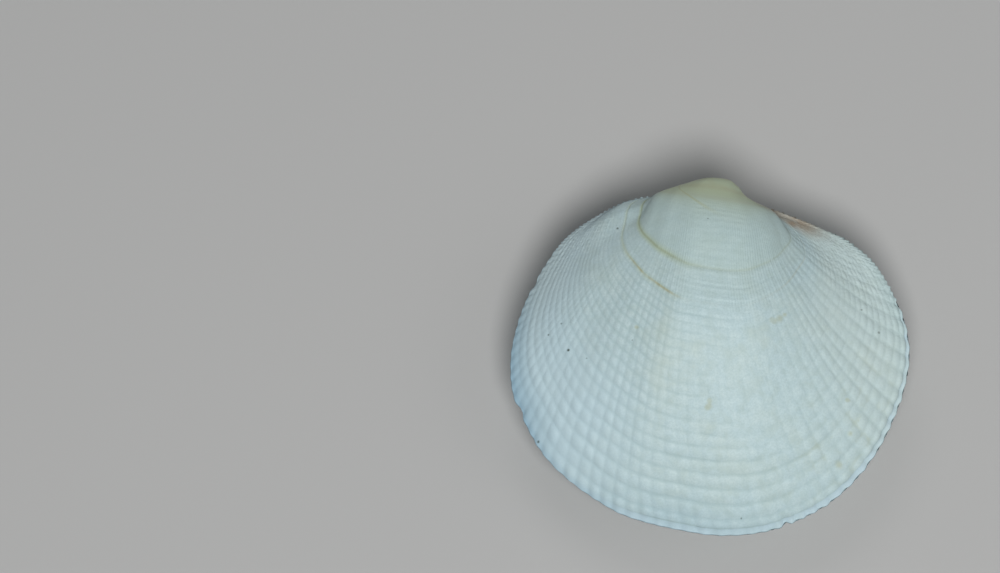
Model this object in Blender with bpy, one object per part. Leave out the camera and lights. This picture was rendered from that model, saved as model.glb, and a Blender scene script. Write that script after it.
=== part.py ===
# A closed clam shell lying on its left valve: two netted valves with interlocking
# margins, and the horny ligament sunk behind the beaks that keeps them shut.
# +X runs to the front end, +Y to the beaks, +Z up through the right valve.
import math

import bmesh
import bpy
import numpy as np
from mathutils import Euler, Matrix, Vector

MM = 0.001

# Driving dimensions of the shell, in metres and degrees
SHELL_LENGTH = 56.1 * MM      # back end to front end of the closed margins
OUTLINE_LENGTH = 56.1         # the same length in the units of MARGIN_POINTS
HINGE_TURN = 8.0              # the hinge line slopes down to the front by this much
OUTLINE_VIEW_TILT = 10.0      # MARGIN_POINTS were read from a view tilted by this much
CARDINAL_HEIGHT = 0.8 * MM    # the growth axis lies this far above the hinge margin
VALVE_GAP = 0.3 * MM          # between the two margins
VALVE_SLIP = (0.3 * MM, -0.1 * MM)  # the left valve sits this far forward and down

RIB_COUNT = 90
RIB_HEIGHT = 0.38 * MM        # crest above furrow at the margin, on the widest ribs
WIDE_RIB_CROWDING = 66        # how the widest ribs stand in RIB_CROWDING
NODE_DIP = 0.60               # rib height left between two rows of nodules
GROOVE_DEPTH = 0.14 * MM      # at the two dark resting lines

WALL_INSET = 1.7 * MM         # width of the flat rim, measured in the margin's plane
WALL_DEPTH = 0.6 * MM         # more wall above the rim, measured square to the face
HINGE_INSET = 2.0 * MM        # extra width of the hinge plate
HINGE_REACH = 5.0 * MM        # how far from the axis the hinge plate is felt
HINGE_CALM = 0.16             # share of that reach beside the hinge without ribs

LIGAMENT_LENGTH = 11.0 * MM
LIGAMENT_HEIGHT = 1.9 * MM
LIGAMENT_THICKNESS = 0.7 * MM
LIGAMENT_CENTRE = (-7.2 * MM, 1.95 * MM)  # along the hinge line, and below the axis
LIGAMENT_SLOPE = 8.0          # its back end drops away from the hinge line by this
LIGAMENT_GROOVE = 0.7 * MM    # each margin draws back this far beside the ligament

REST_PITCH = 6.0              # degrees about X, beaks up
REST_ROLL = 0.0               # degrees about Y
FLAT_DEPTH = 0.45 * MM        # worn off the left valve where it rests

# Closed margin, front to the right and beaks up: millimetres right of and below
# the hinge point, going from the hinge to the front, the belly and the back
MARGIN_POINTS = [
    (3.1, 0.5), (7.6, 0.6), (12.0, 2.1), (15.5, 3.6), (19.0, 5.3), (22.4, 8.1),
    (25.0, 12.2), (26.9, 16.9), (27.4, 21.6), (26.5, 26.5), (24.8, 30.9), (22.6, 35.0),
    (19.6, 38.8), (16.1, 41.9), (12.2, 44.1), (8.0, 45.7), (3.7, 46.4), (-0.7, 46.4),
    (-5.1, 45.7), (-9.2, 44.8), (-13.3, 43.5), (-17.1, 41.4), (-20.8, 38.7),
    (-24.1, 35.3), (-26.5, 31.2), (-28.4, 26.7), (-28.7, 21.6), (-27.7, 16.7),
    (-26.0, 12.4), (-23.6, 8.2), (-20.9, 4.7), (-17.2, 2.0), (-13.0, -0.1),
    (-8.5, -1.0), (-2.8, -0.3),
]

# Growth of a valve: share of the full length, share of the full reach from the
# growth axis, turn about that axis in degrees, and forward shift in millimetres
GROWTH_STAGES = [
    (0.00, 0.000, 178.0, 2.6),
    (0.06, 0.045, 148.0, 1.8),
    (0.12, 0.092, 128.0, 0.1),
    (0.20, 0.136, 95.5, -1.0),
    (0.29, 0.203, 76.0, -0.5),
    (0.38, 0.354, 44.7, 0.0),
    (0.455, 0.444, 36.1, 0.0),
    (0.70, 0.693, 15.9, 0.0),
    (1.00, 1.000, 0.0, 0.0),
]

# The young shell was squarer behind: how far its outline lies outside the grown
# one, by share of the way round, and how much of that is left at each size
SHOULDER = [
    (0.00, 1.00), (0.22, 1.00), (0.28, 0.97), (0.36, 0.97), (0.42, 1.00), (0.54, 1.00),
    (0.62, 0.965), (0.68, 0.97), (0.72, 1.01), (0.76, 1.075), (0.80, 1.145), (0.83, 1.245),
    (0.86, 1.43), (0.88, 1.61), (0.90, 1.75), (0.93, 1.80), (0.96, 1.55), (0.985, 1.15),
    (1.00, 1.00),
]
SHOULDER_LEFT = [(0.0, 1.0), (0.46, 1.0), (0.70, 0.42), (0.85, 0.12), (1.0, 0.0)]

# The two upper slopes are fuller than plain growth makes them: share of the way
# round, how far that is felt, and the most it lifts the face
SLOPE_FULLNESS = [(0.85, 0.055, 0.8 * MM), (0.10, 0.045, 0.45 * MM)]

# Ribs to the whole margin, if they all stood as close as they do at that share of it
RIB_CROWDING = [
    (0.00, 90), (0.10, 112), (0.15, 98), (0.20, 61), (0.235, 66), (0.27, 75),
    (0.30, 71), (0.33, 66), (0.36, 73), (0.39, 91), (0.43, 86), (0.47, 71),
    (0.51, 79), (0.54, 84), (0.57, 81), (0.60, 73), (0.63, 71), (0.66, 96),
    (0.72, 94), (0.80, 128), (0.88, 118), (0.95, 90), (1.00, 90),
]

# Ribs slant as they near the margin: by share of the way round, how much further
# round they stand at the beak than at the margin
RIB_DRIFT = [
    (0.00, 0.0), (0.06, 0.0), (0.22, 0.075), (0.66, 0.075), (0.80, 0.0), (1.00, 0.0),
]

# Growth stages that carry a row of points, from the margin to the beak
RIBBED_ROWS = [1.0, 0.95, 0.90, 0.85, 0.79, 0.72, 0.64, 0.56]
SMOOTH_ROWS = [0.455, 0.38, 0.31, 0.25]
BEAK_ROWS = [0.20, 0.155, 0.11, 0.07]
RESTING_LINES = (0.455, 0.38)
INNER_ROWS = [0.90, 0.76, 0.62, 0.48, 0.37, 0.29]

# Chips in the margin: share of the way round, half width as such a share, depth
MARGIN_CHIPS = [
    (0.4085, 0.0060, 0.35 * MM),
    (0.6800, 0.0120, 0.45 * MM),
    (0.7955, 0.0070, 0.30 * MM),
]

SHARP_ANGLE = 20.0            # ribs and nodules stay crisp, the rest is smooth

SHELL_WHITE = (0.62, 0.66, 0.63, 1.0)
LIGAMENT_BROWN = (0.075, 0.040, 0.020, 1.0)


def clear_scene():
    for found in list(bpy.data.objects):
        bpy.data.objects.remove(found, do_unlink=True)


def shell_material(name, colour, roughness):
    material = bpy.data.materials.new(name)
    material.use_nodes = True
    shader = material.node_tree.nodes["Principled BSDF"]
    shader.inputs["Base Color"].default_value = colour
    shader.inputs["Roughness"].default_value = roughness
    shader.inputs["Metallic"].default_value = 0.0
    material.diffuse_color = colour
    return material


def smooth_steps(knots, values, wanted):
    """Cubic curve through the values that never overshoots between two of them."""
    knots = np.asarray(knots, dtype=float)
    values = np.asarray(values, dtype=float)
    width = np.diff(knots)
    slope = np.diff(values) / width
    tangent = np.empty_like(values)
    tangent[0] = slope[0]
    tangent[-1] = slope[-1]
    same_way = slope[:-1] * slope[1:] > 0
    total = np.where(same_way, slope[:-1] + slope[1:], 1.0)
    tangent[1:-1] = np.where(same_way, 2 * slope[:-1] * slope[1:] / total, 0.0)
    wanted = np.clip(wanted, knots[0], knots[-1])
    span = np.clip(np.searchsorted(knots, wanted, side="right") - 1, 0, len(width) - 1)
    part = (wanted - knots[span]) / width[span]
    rise = values[span] * (1 + 2 * part) * (1 - part) ** 2
    rise += values[span + 1] * part ** 2 * (3 - 2 * part)
    rise += width[span] * tangent[span] * part * (1 - part) ** 2
    rise -= width[span] * tangent[span + 1] * part ** 2 * (1 - part)
    return rise


def margin_in_hinge_axes():
    """Margin points in metres, along the hinge line and away from the growth axis."""
    scale = SHELL_LENGTH / OUTLINE_LENGTH
    turn = math.radians(HINGE_TURN)
    points = []
    for right, below in MARGIN_POINTS:
        below = below / math.cos(math.radians(OUTLINE_VIEW_TILT))
        along = right * math.cos(turn) + below * math.sin(turn)
        away = below * math.cos(turn) - right * math.sin(turn)
        points.append((along * scale, away * scale + CARDINAL_HEIGHT))
    return np.array(points)


class Margin:
    """The closed outline of a full-grown valve, read by share of the way round."""

    def __init__(self, fine=1440):
        points = margin_in_hinge_axes()
        count = len(points)
        steps = np.arange(fine) / fine * count
        start = steps.astype(int)
        part = (steps - start)[:, None]
        before, here, after, beyond = (points[(start + k) % count] for k in (-1, 0, 1, 2))
        curve = 0.5 * (
            2 * here
            + (after - before) * part
            + (2 * before - 5 * here + 4 * after - beyond) * part ** 2
            + (3 * here - before - 3 * after + beyond) * part ** 3
        )
        self.curve = np.vstack([curve, curve[:1]])
        length = np.hypot(*np.diff(self.curve, axis=0).T)
        self.share = np.concatenate([[0.0], np.cumsum(length)]) / length.sum()

    def at(self, share):
        share = np.mod(share, 1.0)
        return np.stack([np.interp(share, self.share, self.curve[:, k]) for k in (0, 1)], -1)


MARGIN = Margin()


def rib_columns():
    """Shares of the way round for every rib crest and furrow, in turn."""
    fine = np.linspace(0.0, 1.0, 2001)
    crowding = smooth_steps(*zip(*RIB_CROWDING), fine)
    passed = np.concatenate([[0.0], np.cumsum((crowding[1:] + crowding[:-1]) / 2)])
    passed *= RIB_COUNT / passed[-1]
    return np.interp(np.arange(2 * RIB_COUNT) / 2, passed, fine)


def drifted(share, stage):
    """Where a rib that ends at this share of the margin stands at an earlier stage."""
    return share + smooth_steps(*zip(*RIB_DRIFT), share) * (1 - stage)


def growth_point(share, stage):
    """Points of the smooth outer face: along the hinge, below it and out from it."""
    size, reach, turn, shift = zip(*GROWTH_STAGES)
    away = smooth_steps(size, reach, stage)
    angle = np.radians(smooth_steps(size, turn, stage))
    forward = smooth_steps(size, shift, stage) * MM
    squarer = smooth_steps(*zip(*SHOULDER), np.mod(share, 1.0)) - 1
    squarer = 1 + squarer * smooth_steps(*zip(*SHOULDER_LEFT), stage)
    outline = MARGIN.at(share)
    along = stage * outline[..., 0] * squarer + forward
    below = away * outline[..., 1] * squarer
    lift = np.zeros_like(below)
    for centre, reach, height in SLOPE_FULLNESS:
        lift += height * np.exp(-(((np.mod(share, 1.0) - centre) / reach) ** 2))
    lift *= 4 * stage * (1 - stage)
    return np.stack([along, below * np.cos(angle), below * np.sin(angle) + lift], -1)


def growth_normal(share, stage):
    """Outward normals of the same face, from small steps round and along it."""
    step = 0.002
    round_it = growth_point(share + step, stage) - growth_point(share - step, stage)
    up_it = growth_point(share, min(stage + step, 1.0)) - growth_point(share, stage - step)
    normal = np.cross(up_it, round_it)
    return normal / np.maximum(np.linalg.norm(normal, axis=-1, keepdims=True), 1e-12)


def chip_depth(share):
    depth = np.zeros_like(share)
    for centre, half_width, deepest in MARGIN_CHIPS:
        depth += deepest * np.clip(1 - np.abs(share - centre) / half_width, 0, 1)
    return depth


def ligament_window(points):
    """1 beside the ligament, falling to 0 past its ends and towards the belly."""
    slope = math.radians(LIGAMENT_SLOPE)
    along = points[:, 0] - LIGAMENT_CENTRE[0]
    below = points[:, 1] - LIGAMENT_CENTRE[1]
    endwise = (along * math.cos(slope) - below * math.sin(slope)) / (0.62 * LIGAMENT_LENGTH)
    across = (along * math.sin(slope) + below * math.cos(slope)) / (1.4 * LIGAMENT_HEIGHT)
    return np.clip(1.6 - 1.6 * (endwise ** 4 + across ** 4), 0, 1)


def clear_of_other_valve(points):
    """Lift what lies near the margins' plane by the gap, and more at the ligament."""
    floor = VALVE_GAP / 2 + LIGAMENT_GROOVE * ligament_window(points)
    points[:, 2] = np.hypot(np.maximum(points[:, 2], 0), floor)
    return points


def outer_row(shares, stage, crests, row):
    """One row of the ribbed outer face; crests is +1 on a rib and -1 in a furrow."""
    shares = drifted(shares, stage)
    points = growth_point(shares, stage)
    normals = growth_normal(shares, stage)
    shelter = np.clip(MARGIN.at(shares)[:, 1] / HINGE_REACH - HINGE_CALM, 0.0, 1.0)
    crowding = smooth_steps(*zip(*RIB_CROWDING), shares)
    height = RIB_HEIGHT / 2 * stage * shelter * WIDE_RIB_CROWDING / crowding
    if stage < RIBBED_ROWS[-1]:
        height = height * 0
    if row % 2:
        height = height * NODE_DIP
    raised = crests * height
    if stage in RESTING_LINES:
        raised = raised - GROOVE_DEPTH * shelter
    if stage == 1.0:
        normals[:, 2] = 0
        raised = raised - chip_depth(shares)
    return clear_of_other_valve(points + normals * raised[:, None])


def inner_row(shares, stage):
    """The same growth row drawn in towards its middle by the wall's thickness."""
    points = growth_point(shares, stage)
    outline = MARGIN.at(shares)
    middle = growth_point(shares, stage).mean(axis=0)
    drawn = WALL_INSET + HINGE_INSET * np.exp(-(outline[:, 1] / HINGE_REACH) ** 2)
    drawn = drawn * (0.5 + 0.5 * stage)
    arm = middle - points
    points = points + arm * (drawn / np.linalg.norm(arm, axis=1))[:, None]
    if stage < 1.0:
        points = points - growth_normal(shares, stage) * WALL_DEPTH
        points[:, 2] = np.maximum(points[:, 2], 0)
    return clear_of_other_valve(points)


def shell_axes(points, side, slip):
    """From hinge axes to the shell's own: X to the front, Y to the beaks, Z out."""
    turn = math.radians(HINGE_TURN)
    along = points[:, 0]
    below = points[:, 1] - CARDINAL_HEIGHT
    right = along * math.cos(turn) - below * math.sin(turn) + slip[0]
    up = -(along * math.sin(turn) + below * math.cos(turn)) + slip[1]
    return np.stack([right, up, side * points[:, 2]], -1)


def add_ring(mesh, points):
    return [mesh.verts.new(point) for point in points]


def loft(mesh, ring, following):
    """Skin between two closed rings; the second may have half the first's points."""
    count = len(following)
    ratio = len(ring) // count
    for k in range(count):
        near = following[k]
        far = following[(k + 1) % count]
        edge = [ring[(ratio * k + j) % len(ring)] for j in range(ratio + 1)]
        if ratio == 1:
            mesh.faces.new((edge[0], edge[1], far, near))
        else:
            mesh.faces.new((edge[0], edge[1], near))
            mesh.faces.new((edge[1], far, near))
            mesh.faces.new((edge[1], edge[2], far))


def close_ring(mesh, ring):
    tip = mesh.verts.new(sum((vert.co for vert in ring), Vector()) / len(ring))
    for k in range(len(ring)):
        mesh.faces.new((ring[k], ring[(k + 1) % len(ring)], tip))


def finish_mesh(mesh, name, material, collection, pose):
    mesh.normal_update()
    bmesh.ops.recalc_face_normals(mesh, faces=mesh.faces)
    data = bpy.data.meshes.new(name)
    mesh.to_mesh(data)
    mesh.free()
    data.materials.append(material)
    data.shade_smooth()
    data.set_sharp_from_angle(angle=math.radians(SHARP_ANGLE))
    made = bpy.data.objects.new(name, data)
    made.parent = pose
    collection.objects.link(made)
    return made


def rest_rotation():
    return Euler((math.radians(REST_PITCH), math.radians(REST_ROLL), 0.0)).to_matrix()


def valve_mesh(side, slip, crest_shift):
    """A ribbed valve with its hollow; side is +1 for the right valve, -1 for the left."""
    columns = rib_columns()
    crests = np.where((np.arange(len(columns)) + crest_shift) % 2, -1.0, 1.0)
    mesh = bmesh.new()
    rings = []
    rows = [(stage, 1) for stage in RIBBED_ROWS]
    rows += [(stage, 2) for stage in SMOOTH_ROWS] + [(stage, 4) for stage in BEAK_ROWS]
    for row, (stage, thin) in enumerate(rows):
        points = outer_row(columns[::thin], stage, crests[::thin], row)
        rings.append(add_ring(mesh, shell_axes(points, side, slip)))
    for ring, following in zip(rings, rings[1:]):
        loft(mesh, ring, following)
    close_ring(mesh, rings[-1])
    inner = [add_ring(mesh, shell_axes(inner_row(columns[::2], 1.0), side, slip))]
    for stage in INNER_ROWS:
        points = inner_row(columns[::4], stage)
        inner.append(add_ring(mesh, shell_axes(points, side, slip)))
    loft(mesh, rings[0], inner[0])
    for ring, following in zip(inner, inner[1:]):
        loft(mesh, ring, following)
    close_ring(mesh, inner[-1])
    return mesh


def wear_flat(mesh):
    """Cut the lowest part of the resting valve off square to the ground."""
    up = rest_rotation().transposed() @ Vector((0, 0, 1))
    lowest = min(vert.co.dot(up) for vert in mesh.verts)
    geometry = list(mesh.verts) + list(mesh.edges) + list(mesh.faces)
    cut = bmesh.ops.bisect_plane(
        mesh,
        geom=geometry,
        plane_co=up * (lowest + FLAT_DEPTH),
        plane_no=up,
        clear_inner=True,
    )
    rim = [item for item in cut["geom_cut"] if isinstance(item, bmesh.types.BMEdge)]
    bmesh.ops.contextual_create(mesh, geom=rim)
    return lowest + FLAT_DEPTH


def ligament_mesh():
    mesh = bmesh.new()
    bmesh.ops.create_uvsphere(mesh, u_segments=12, v_segments=12, radius=0.5)
    bmesh.ops.rotate(mesh, verts=mesh.verts, matrix=Matrix.Rotation(math.pi / 2, 3, "Y"))
    size = Vector((LIGAMENT_LENGTH, LIGAMENT_HEIGHT, LIGAMENT_THICKNESS))
    bmesh.ops.scale(mesh, verts=mesh.verts, vec=size)
    slope = Matrix.Rotation(-math.radians(LIGAMENT_SLOPE), 3, "Z")
    bmesh.ops.rotate(mesh, verts=mesh.verts, matrix=slope)
    points = np.array([vert.co for vert in mesh.verts])
    points[:, 0] += LIGAMENT_CENTRE[0]
    points[:, 1] += LIGAMENT_CENTRE[1]
    for vert, point in zip(mesh.verts, shell_axes(points, 1, (0, 0))):
        vert.co = point
    return mesh


def build():
    clear_scene()
    collection = bpy.data.collections.new("codakia_interrupta_shell")
    bpy.context.scene.collection.children.link(collection)
    shell = shell_material("shell_white", SHELL_WHITE, 0.45)
    horn = shell_material("ligament_brown", LIGAMENT_BROWN, 0.5)
    pose = bpy.data.objects.new("resting_pose", None)
    collection.objects.link(pose)
    half_slip = (VALVE_SLIP[0] / 2, VALVE_SLIP[1] / 2)
    other_slip = (-half_slip[0], -half_slip[1])
    left = valve_mesh(-1, half_slip, 1)
    ground = wear_flat(left)
    right = valve_mesh(1, other_slip, 0)
    turned = rest_rotation()
    reach = [turned @ vert.co for mesh in (left, right) for vert in mesh.verts]
    middle = [(min(p[k] for p in reach) + max(p[k] for p in reach)) / 2 for k in (0, 1)]
    pose.rotation_euler = turned.to_euler()
    pose.location = (-middle[0], -middle[1], -ground)
    finish_mesh(right, "right_valve", shell, collection, pose)
    finish_mesh(left, "left_valve", shell, collection, pose)
    finish_mesh(ligament_mesh(), "ligament", horn, collection, pose)
    bpy.context.view_layer.update()


build()
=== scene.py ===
import math

import bmesh
import bpy
import numpy as np
from mathutils import Euler, Matrix, Vector


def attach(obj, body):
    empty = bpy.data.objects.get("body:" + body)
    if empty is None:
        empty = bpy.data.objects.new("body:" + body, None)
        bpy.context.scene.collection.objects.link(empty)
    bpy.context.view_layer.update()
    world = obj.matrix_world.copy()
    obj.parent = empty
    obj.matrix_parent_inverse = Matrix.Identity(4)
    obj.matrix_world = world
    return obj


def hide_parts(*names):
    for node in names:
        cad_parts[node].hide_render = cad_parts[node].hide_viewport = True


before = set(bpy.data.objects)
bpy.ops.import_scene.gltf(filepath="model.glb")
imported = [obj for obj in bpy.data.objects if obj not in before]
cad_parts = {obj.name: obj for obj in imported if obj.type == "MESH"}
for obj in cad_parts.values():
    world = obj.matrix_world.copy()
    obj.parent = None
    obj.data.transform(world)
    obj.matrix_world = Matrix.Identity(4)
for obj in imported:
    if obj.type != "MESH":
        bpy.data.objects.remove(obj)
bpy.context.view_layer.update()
mm = 0.001
print("packed shell loaded")

# how both valves grow; lengths in metres unless a note says millimetres
shellForm = {
    "length": 56.1 * mm,
    "outlineLength": 56.1,       # the same length in the units of the margin points
    "hingeTurn": 8.0,            # degrees that the hinge line slopes down to the front
    "outlineTilt": 10.0,         # degrees that the outline's view was tilted
    "cardinalHeight": 0.8 * mm,
    # how far forward and up a valve is slipped: 1 is the right one, -1 the left one
    "slip": {1: (-0.15 * mm, 0.05 * mm), -1: (-0.10 * mm, 0.06 * mm)},
    "restPitch": 6.0,            # degrees about X
    "restPlace": (0.661 * mm, 21.703 * mm, 13.709 * mm),
    "ribCount": 90,
    "wideRibCrowding": 66,       # how the widest ribs stand in the table of crowding
    # millimetres right of and below the hinge point, from the hinge round the front; a program
    # moved most of these points to the photo's outline
    "margin": [
        (3.1, 0.5), (7.6, 0.6), (12.0, 2.1), (15.5, 3.6), (19.0, 5.3), (22.4, 8.1),
        (25.0, 12.2), (26.9, 16.9), (27.4, 21.6), (26.5, 26.5), (24.8, 30.9), (22.6, 35.0),
        (19.6, 38.8), (16.1, 41.9), (12.2, 44.1), (8.0, 45.7), (3.7, 46.4), (-0.7, 46.4),
        (-5.1, 45.7), (-9.2, 44.8), (-13.3, 43.5), (-17.1, 41.4), (-20.8, 38.7),
        (-24.1, 35.3), (-26.5, 31.2), (-28.4, 26.7), (-28.7, 21.6), (-27.7, 16.7),
        (-26.0, 12.4), (-23.6, 8.2), (-20.9, 4.7), (-17.2, 2.0), (-13.0, -0.1),
        (-8.5, -1.0), (-2.8, -0.3),
    ],
    # stage, share of the reach, turn in degrees, forward shift in millimetres; the first five
    # rows were found by an optimiser against the photo's outline
    "growth": [
        (0.00, 0.000, 178.0, 2.6), (0.06, 0.045, 148.0, 1.8), (0.12, 0.092, 128.0, 0.1),
        (0.20, 0.136, 95.5, -1.0), (0.29, 0.203, 76.0, -0.5), (0.38, 0.354, 44.7, 0.0),
        (0.455, 0.444, 36.1, 0.0), (0.70, 0.693, 15.9, 0.0), (1.00, 1.000, 0.0, 0.0),
    ],
    # how much squarer the young shell was, by share of the way round; from 0.62 to 0.88 by
    # fits to the photo's two resting lines
    "shoulder": [
        (0.00, 1.00), (0.22, 1.00), (0.28, 0.97), (0.36, 0.97), (0.42, 1.00), (0.54, 1.00),
        (0.62, 0.965), (0.68, 0.97), (0.72, 1.01), (0.76, 1.075), (0.80, 1.145), (0.83, 1.245),
        (0.86, 1.43), (0.88, 1.61), (0.90, 1.75), (0.93, 1.80), (0.96, 1.55), (0.985, 1.15),
        (1.00, 1.00),
    ],
    # how much of that is left, by stage
    "shoulderLeft": [(0.0, 1.0), (0.46, 1.0), (0.70, 0.52), (0.85, 0.20), (1.0, 0.0)],
    # share of the way round, how far it is felt, most lift
    "fullness": [(0.85, 0.055, 0.8 * mm), (0.10, 0.045, 0.45 * mm)],
    # ribs to the whole margin, if they all stood as close as at that share of it; from 0.20 to
    # 0.72 after a program's measure of their spacing in the photo
    "crowding": [
        (0.00, 90), (0.10, 112), (0.15, 98), (0.20, 61), (0.235, 66), (0.27, 75),
        (0.30, 71), (0.33, 66), (0.36, 73), (0.39, 91), (0.43, 86), (0.47, 71),
        (0.51, 79), (0.54, 84), (0.57, 81), (0.60, 73), (0.63, 71), (0.66, 96),
        (0.72, 94), (0.80, 128), (0.88, 118), (0.95, 90), (1.00, 90),
    ],
    # how much further round a rib stands at the beak than at the margin
    "drift": [
        (0.00, 0.0), (0.06, 0.0), (0.22, 0.075), (0.66, 0.075), (0.80, 0.0), (1.00, 0.0),
    ],
}


def smoothSteps(table, wanted):
    # cubic curve through the table that never overshoots between two of its values
    knots, values = (np.array(part, dtype=float) for part in zip(*table))
    width = np.diff(knots)
    slope = np.diff(values) / width
    tangent = np.empty_like(values)
    tangent[0] = slope[0]
    tangent[-1] = slope[-1]
    sameWay = slope[:-1] * slope[1:] > 0
    total = np.where(sameWay, slope[:-1] + slope[1:], 1.0)
    tangent[1:-1] = np.where(sameWay, 2 * slope[:-1] * slope[1:] / total, 0.0)
    wanted = np.clip(wanted, knots[0], knots[-1])
    span = np.clip(np.searchsorted(knots, wanted, side="right") - 1, 0, len(width) - 1)
    part = (wanted - knots[span]) / width[span]
    rise = values[span] * (1 + 2 * part) * (1 - part) ** 2
    rise += values[span + 1] * part ** 2 * (3 - 2 * part)
    rise += width[span] * tangent[span] * part * (1 - part) ** 2
    rise -= width[span] * tangent[span + 1] * part ** 2 * (1 - part)
    return rise


def wander(share, along, cells, seed):
    # smooth noise from -1 to 1 that closes on itself round the shell; along runs 0 to 1
    roundCells, alongCells = cells
    table = np.random.default_rng(seed).uniform(-1, 1, (alongCells + 2, roundCells))
    across = np.mod(share, 1.0) * roundCells
    down = np.clip(along, 0, 1) * alongCells
    column = np.floor(across).astype(int)
    row = np.floor(down).astype(int)
    across = across - column
    down = down - row
    across = across ** 2 * (3 - 2 * across)
    down = down ** 2 * (3 - 2 * down)
    column = column % roundCells
    beyond = (column + 1) % roundCells
    near = table[row, column] * (1 - across) + table[row, beyond] * across
    far = table[row + 1, column] * (1 - across) + table[row + 1, beyond] * across
    return near * (1 - down) + far * down


def climb(value, low, high):
    # 0 below low, 1 above high, straight between
    return np.clip((value - low) / (high - low), 0, 1)


def marginCurve(fine=5760):
    # full-grown outline in hinge axes, with the share of the way round at each point
    scale = shellForm["length"] / shellForm["outlineLength"]
    turn = math.radians(shellForm["hingeTurn"])
    points = np.array(shellForm["margin"])
    right = points[:, 0]
    below = points[:, 1] / math.cos(math.radians(shellForm["outlineTilt"]))
    along = (right * math.cos(turn) + below * math.sin(turn)) * scale
    away = (below * math.cos(turn) - right * math.sin(turn)) * scale
    points = np.stack([along, away + shellForm["cardinalHeight"]], -1)
    count = len(points)
    steps = np.arange(fine) / fine * count
    start = steps.astype(int)
    part = (steps - start)[:, None]
    before, here, after, beyond = (points[(start + k) % count] for k in (-1, 0, 1, 2))
    curve = 2 * here + (after - before) * part
    curve += (2 * before - 5 * here + 4 * after - beyond) * part ** 2
    curve += (3 * here - before - 3 * after + beyond) * part ** 3
    curve = np.vstack([curve, curve[:1]]) / 2
    length = np.hypot(*np.diff(curve, axis=0).T)
    share = np.concatenate([[0.0], np.cumsum(length)]) / length.sum()
    return curve, share


outlineCurve, outlineShare = marginCurve()


def outlineAt(share):
    share = np.mod(share, 1.0)
    return np.stack([np.interp(share, outlineShare, outlineCurve[:, k]) for k in (0, 1)], -1)


def shareOfRib(rib):
    # where rib number rib stands, as a share of the way round
    fine = np.linspace(0.0, 1.0, 4001)
    crowding = smoothSteps(shellForm["crowding"], fine)
    passed = np.concatenate([[0.0], np.cumsum((crowding[1:] + crowding[:-1]) / 2)])
    passed *= shellForm["ribCount"] / passed[-1]
    turns = np.floor(rib / shellForm["ribCount"])
    return np.interp(rib - turns * shellForm["ribCount"], passed, fine) + turns


def growthPoint(share, stage):
    # smooth outer face: along the hinge line, below it and out from the margins' plane
    size, reach, turn, shift = zip(*shellForm["growth"])
    away = smoothSteps(list(zip(size, reach)), stage)
    angle = np.radians(smoothSteps(list(zip(size, turn)), stage))
    forward = smoothSteps(list(zip(size, shift)), stage) * mm
    squarer = smoothSteps(shellForm["shoulder"], np.mod(share, 1.0)) - 1
    squarer = 1 + squarer * smoothSteps(shellForm["shoulderLeft"], stage)
    outline = outlineAt(share)
    along = stage * outline[..., 0] * squarer + forward
    below = away * outline[..., 1] * squarer
    lift = np.zeros_like(below)
    for centre, felt, height in shellForm["fullness"]:
        lift += height * np.exp(-(((np.mod(share, 1.0) - centre) / felt) ** 2))
    lift *= 4 * stage * (1 - stage)
    return np.stack([along, below * np.cos(angle), below * np.sin(angle) + lift], -1)


def growthNormal(share, stage):
    step = 0.002
    roundIt = growthPoint(share + step, stage) - growthPoint(share - step, stage)
    upIt = growthPoint(share, np.minimum(stage + step, 1.0))
    upIt = upIt - growthPoint(share, np.maximum(stage - step, 0.0))
    normal = np.cross(upIt, roundIt)
    return normal / np.maximum(np.linalg.norm(normal, axis=-1, keepdims=True), 1e-12)


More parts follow.
